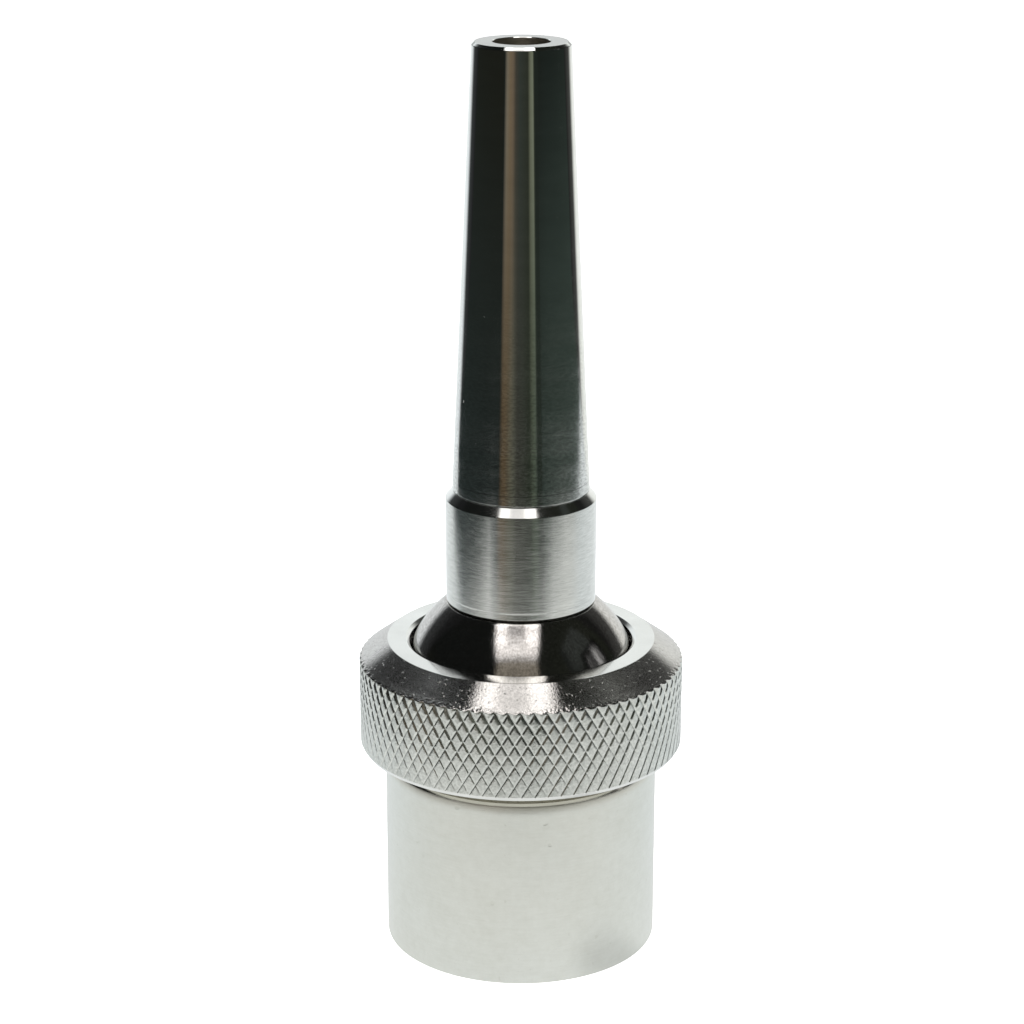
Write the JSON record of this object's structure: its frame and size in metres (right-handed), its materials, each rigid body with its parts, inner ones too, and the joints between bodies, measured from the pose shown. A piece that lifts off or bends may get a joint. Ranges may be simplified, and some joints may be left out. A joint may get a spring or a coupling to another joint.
{
  "type": "adjustable straight-jet water nozzle",
  "caption": "Smooth-bore straight-jet water nozzle: threaded inlet socket, swivel ball under a knurled lock nut, brushed neck sleeve and a long tapered jet tube.",
  "frame": {"origin": "centre of the socket's bottom face, on the waterway's axis", "axes": "+Z along the jet when it is aimed straight, +X and +Y across it; the ball tilts about +X"},
  "size_m": [0.0474, 0.0474, 0.1329],
  "materials": {
    "satin_steel": "fine satin, bead-blasted look",
    "turned_steel": "turned bright, fine tool lines, diamond knurl",
    "brushed_steel": "brushed round the axis",
    "mirror_steel": "polished",
    "rubber_black": "moulded matt black",
    "white_plastic": "machined low-friction plastic",
    "vane_plastic": "moulded"
  },
  "bodies": {
    "socket": {"body_socket": "satin_steel", "inlet_washer": "rubber_black", "seat_o_ring": "rubber_black"},
    "seat": {"ball_seat_ring": "white_plastic"},
    "ball": {"swivel_ball": "mirror_steel", "neck_sleeve": "brushed_steel", "neck_o_ring": "rubber_black", "jet_tube": "mirror_steel", "jet_o_ring": "rubber_black", "flow_straightener": "vane_plastic"},
    "clamp": {"clamp_ring": "white_plastic"},
    "nut": {"knurled_nut": "turned_steel"}
  },
  "joints": [
    {"name": "swivel_turn", "type": "hinge", "parent": "socket", "child": "seat", "pos_m": [0, 0, 0.0384], "axis": [0, 0, 1], "continuous": true},
    {"name": "swivel_tilt", "type": "hinge", "parent": "seat", "child": "ball", "pos_m": [0, 0, 0.0384], "axis": [1, 0, 0], "range_deg": [-15, 15]},
    {"name": "clamp_lift", "type": "slide", "parent": "socket", "child": "clamp", "axis": [0, 0, 1], "range_m": [0, 0.006]},
    {"name": "nut_turn", "type": "hinge", "parent": "clamp", "child": "nut", "pos_m": [0, 0, 0.0384], "axis": [0, 0, 1], "range_deg": [0, 1440]}
  ],
  "couplings": [
    {"joint": "clamp_lift", "follows": "nut_turn", "m_per_rad": 0.00023873}
  ]
}
